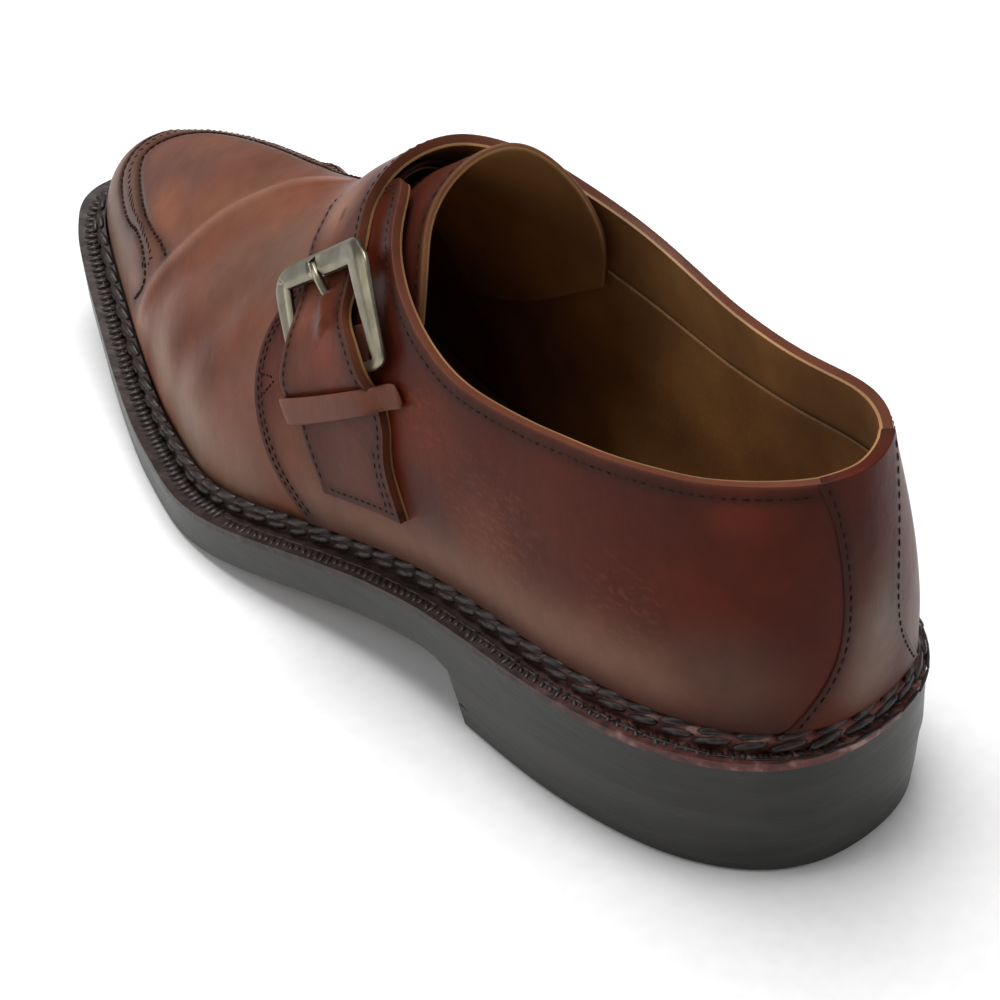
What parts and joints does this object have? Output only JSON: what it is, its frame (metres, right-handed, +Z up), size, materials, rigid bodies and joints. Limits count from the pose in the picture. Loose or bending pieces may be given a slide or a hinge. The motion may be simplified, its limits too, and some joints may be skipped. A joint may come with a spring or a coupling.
{
  "type": "monk strap shoe",
  "caption": "Left men's monk-strap leather shoe with a buckled strap, storm welt and stacked heel, standing empty.",
  "frame": {"origin": "on the floor, under the centre of the shoe's bounding box", "axes": "+Y from heel to toe, +Z up, -X is the lateral side, where the buckle sits"},
  "size_m": [0.1014, 0.3098, 0.1135],
  "materials": {
    "upper_leather": "burnished red-brown",
    "lining": "tan, matte",
    "welt_leather": "dark brown, stitched",
    "sole_edge": "dark waxed edge",
    "brushed_nickel": "brushed, warm grey"
  },
  "bodies": {
    "root": {"upper": "upper_leather", "quarter_lateral": "upper_leather", "quarter_medial": "upper_leather", "back_strip": "upper_leather", "tongue": "upper_leather", "strap": "upper_leather", "buckle_chape": "upper_leather", "keeper_loop": "upper_leather", "buckle_frame": "brushed_nickel", "buckle_prong": "brushed_nickel", "insole": "lining", "welt": "welt_leather", "midsole": "welt_leather", "outsole": "sole_edge", "heel": "sole_edge", "top_lift": "sole_edge"}
  },
  "joints": []
}
